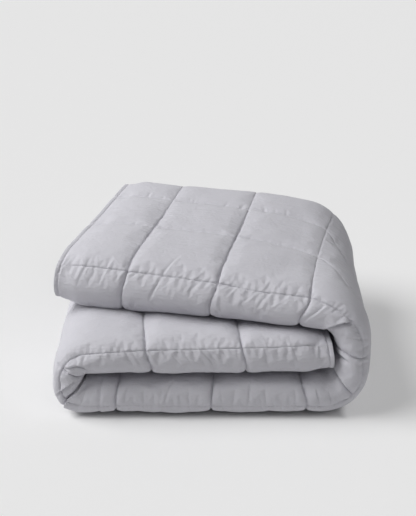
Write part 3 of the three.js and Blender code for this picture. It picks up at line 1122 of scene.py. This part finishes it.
def thin_out(piece):
    """Fewer triangles where the faces are flat or hidden."""
    triangles = sum(len(face.vertices) - 2 for face in piece.data.polygons)
    modifier = piece.modifiers.new("thin", "DECIMATE")
    modifier.ratio = TRIANGLE_LIMIT / triangles
    done = piece.evaluated_get(bpy.context.evaluated_depsgraph_get())
    thinned = bpy.data.meshes.new_from_object(done)
    full = piece.data
    piece.modifiers.clear()
    piece.data = thinned
    thinned.name = piece.name
    bpy.data.meshes.remove(full)


# Stitches: pitch, length, thickness, lift in the middle, sink and share of the thickness at the ends,
# share of a seam's depth from which they show, and reach for their direction
STITCH_PITCH = 3.6
STITCH_LENGTH = 2.8
STITCH_THICK = 0.8
STITCH_LIFT = 0.15
STITCH_SINK = 0.3
STITCH_END = 0.4
STITCH_SHARE = 0.2
STITCH_PROBE = 1.0


def stitch_lines(cloth, skin):
    """The sewn lines where they show, each as points and outward directions."""
    normals = grid_normals(skin)
    shown = ~hidden(cloth.u[:, None], cloth.v)
    for col in cloth.seam_cols:
        yield skin[:, col], normals[:, col], shown[:, col]
    sewn = shown & (cross_shares(cloth) > STITCH_SHARE)
    for row in cloth.seam_rows:
        yield skin[row], normals[row], sewn[row]


def spread_stitches(points, normals, shown):
    """Middle, direction and outward direction of each stitch along a sewn line."""
    run = run_along(points)
    at = np.arange(STITCH_PITCH, run[-1] - STITCH_PITCH, STITCH_PITCH)
    at = at[np.interp(at, run, shown.astype(float)) > 0.5]

    def sample(values, places):
        return np.stack([np.interp(places, run, values[:, k]) for k in range(3)], -1)

    ahead = sample(points, at + STITCH_PROBE) - sample(points, at - STITCH_PROBE)
    return sample(points, at), unit(ahead), sample(normals, at)


def thread_faces(rings):
    """Faces of one thread: two ends, and the sides between its rings of four points."""
    last = 4 * rings - 1
    sides = [[b, a, d, c] for a, b, c, d in grid_faces(rings, 4, closed=True)]
    return [[0, 1, 2, 3], [last, last - 1, last - 2, last - 3]] + sides


def build_stitches(cloth, skin, material):
    """All stitches as one piece: each a short thread that dips into the cloth at its ends."""
    parts = [spread_stitches(*line) for line in stitch_lines(cloth, skin)]
    middle, ahead, up = (np.concatenate(group) for group in zip(*parts))
    side = np.cross(ahead, up)
    rings = []
    for along, share, lift in ((-0.5, STITCH_END, -STITCH_SINK), (0.0, 1.0, STITCH_LIFT),
                               (0.5, STITCH_END, -STITCH_SINK)):
        at = middle + ahead * along * STITCH_LENGTH + up * lift
        half = STITCH_THICK / 2 * share
        rings.append(np.stack([at + side * half, at + up * half, at - side * half, at - up * half], 1))
    points = np.stack(rings, 1).reshape(-1, 3)
    first = len(points) // len(middle) * np.arange(len(middle))
    faces = np.array(thread_faces(len(rings)))[None] + first[:, None, None]
    return mesh_object("duvet_stitches", points * MM, faces.reshape(-1, 4).tolist(), material)


# Camera: width of the photo and focal length in pixels, sensor width, place in the millimetres of the
# tables above, and pitch below the horizon in degrees
PHOTO_WIDTH = 416.0
FOCAL_LENGTH = 1000.0
SENSOR_WIDTH = 36.0
CAMERA_PLACE = np.array([-4.9, -1657.8, 1156.4])
CAMERA_PITCH = 25.8


def add_camera():
    data = bpy.data.cameras.new("camera")
    data.sensor_fit = "HORIZONTAL"
    data.sensor_width = SENSOR_WIDTH
    data.lens = SENSOR_WIDTH * FOCAL_LENGTH / PHOTO_WIDTH
    camera = add_object("camera", data)
    place = Matrix.Translation(Vector((CAMERA_PLACE - CENTRE) * MM))
    camera.matrix_world = place @ Matrix.Rotation(math.radians(90 - CAMERA_PITCH), 4, "X")
    bpy.context.scene.camera = camera


WHITE = (1.0, 1.0, 1.0, 1.0)

# Light of the room on its brightest side, and the direction of that side
WORLD_BRIGHT = 0.36
WORLD_TOWARDS = (-0.6, 0.8, 0.0)

# Large soft lights: energy, angular size in degrees and the direction in which the light travels
KEY_LIGHT = (2.1, 38.0, (0.71, -0.06, -0.7))
FILL_LIGHT = (0.52, 42.0, (-0.42, 0.52, -0.74))

# A panel close to the left end of the cloth: energy, size, place and the point that it faces, in metres
PANEL_ENERGY = 4.5
PANEL_SIZE = 0.8
PANEL_PLACE = (-0.9, 0.2, 1.2)
PANEL_AIM = (0.0, 0.0, 0.15)

# Floor: half its size, tone, roughness and glow, a painted light that lifts the shadows on it, then half
# sizes and middle of the patch under the duvet that does not glow, a painted darker shade there, and the
# share of them at which the glow begins
FLOOR_HALF = 30.0
FLOOR_TONE = 0.76
FLOOR_ROUGHNESS = 0.9
FLOOR_PAINTED_LIGHT = 0.198
FLOOR_PATCH = (0.275, 0.23)
FLOOR_PATCH_MIDDLE = (-0.005, -0.1, 0.0)
FLOOR_PATCH_START = 0.94


def add_world():
    world = bpy.data.worlds.new("studio")
    nodes = Nodes(world)
    towards = nodes.vector_math("DOT_PRODUCT", nodes.place("Generated"), WORLD_TOWARDS)["Value"]
    strength = nodes.ramp(towards, -1.0, WORLD_BRIGHT)
    nodes.fill(nodes.tree.nodes["Background"], Color=WHITE, Strength=strength)
    bpy.context.scene.world = world


def aimed(name, data, travel):
    light = add_object(name, data)
    light.rotation_euler = Vector(travel).to_track_quat("-Z", "Y").to_euler()
    return light


def add_sun(name, energy, angle, travel):
    data = bpy.data.lights.new(name, "SUN")
    data.energy = energy
    data.angle = math.radians(angle)
    aimed(name, data, travel)


def add_panel(pieces):
    """A soft panel that lights these pieces and leaves the floor even."""
    data = bpy.data.lights.new("panel", "AREA")
    data.shape = "DISK"
    data.energy = PANEL_ENERGY
    data.size = PANEL_SIZE
    panel = aimed("panel", data, Vector(PANEL_AIM) - Vector(PANEL_PLACE))
    panel.location = PANEL_PLACE
    lit = bpy.data.collections.new("lit_by_panel")
    for piece in pieces:
        lit.objects.link(piece)
    panel.light_linking.receiver_collection = lit


def floor_material():
    """The floor glows a little, painted light that lifts its shadows, but not where the duvet lies on it,
    which paints a darker shade there.
    """
    shader = Shader("floor")
    share = shader.vector_math("DIVIDE", shader.place("Object"), (*FLOOR_PATCH, 1.0))["Vector"]
    split = shader.node("ShaderNodeSeparateXYZ", Vector=share).outputs
    farther = shader.math("MAXIMUM", *(shader.math("ABSOLUTE", split[axis]) for axis in "XY"))
    # Painted light over the floor, none in the patch under the duvet, which paints a darker shade round
    # and under it
    glow = shader.ramp(farther, FLOOR_PATCH_START, FLOOR_PAINTED_LIGHT)
    return shader.finish(
        Base_Color=(FLOOR_TONE, FLOOR_TONE, FLOOR_TONE, 1.0), Roughness=FLOOR_ROUGHNESS,
        Emission_Color=WHITE, Emission_Strength=glow)


def add_floor():
    corners = FLOOR_HALF * np.array([(-1, -1, 0), (1, -1, 0), (1, 1, 0), (-1, 1, 0)])
    floor = mesh_object("floor", corners, [(0, 1, 2, 3)], floor_material())
    floor.location = FLOOR_PATCH_MIDDLE


bpy.context.scene.view_settings.view_transform = "Standard"
add_camera()
add_world()
add_sun("key", *KEY_LIGHT)
add_sun("fill", *FILL_LIGHT)
add_floor()
fabric = cotton()
cloth = Cloth()
skin = finished_skin(cloth)
duvet = build_duvet(cloth, skin, fabric)
stitches = build_stitches(cloth, skin, fabric)
add_panel((duvet, stitches))
for piece in (duvet, stitches):
    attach(piece, "root")
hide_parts("duvet")
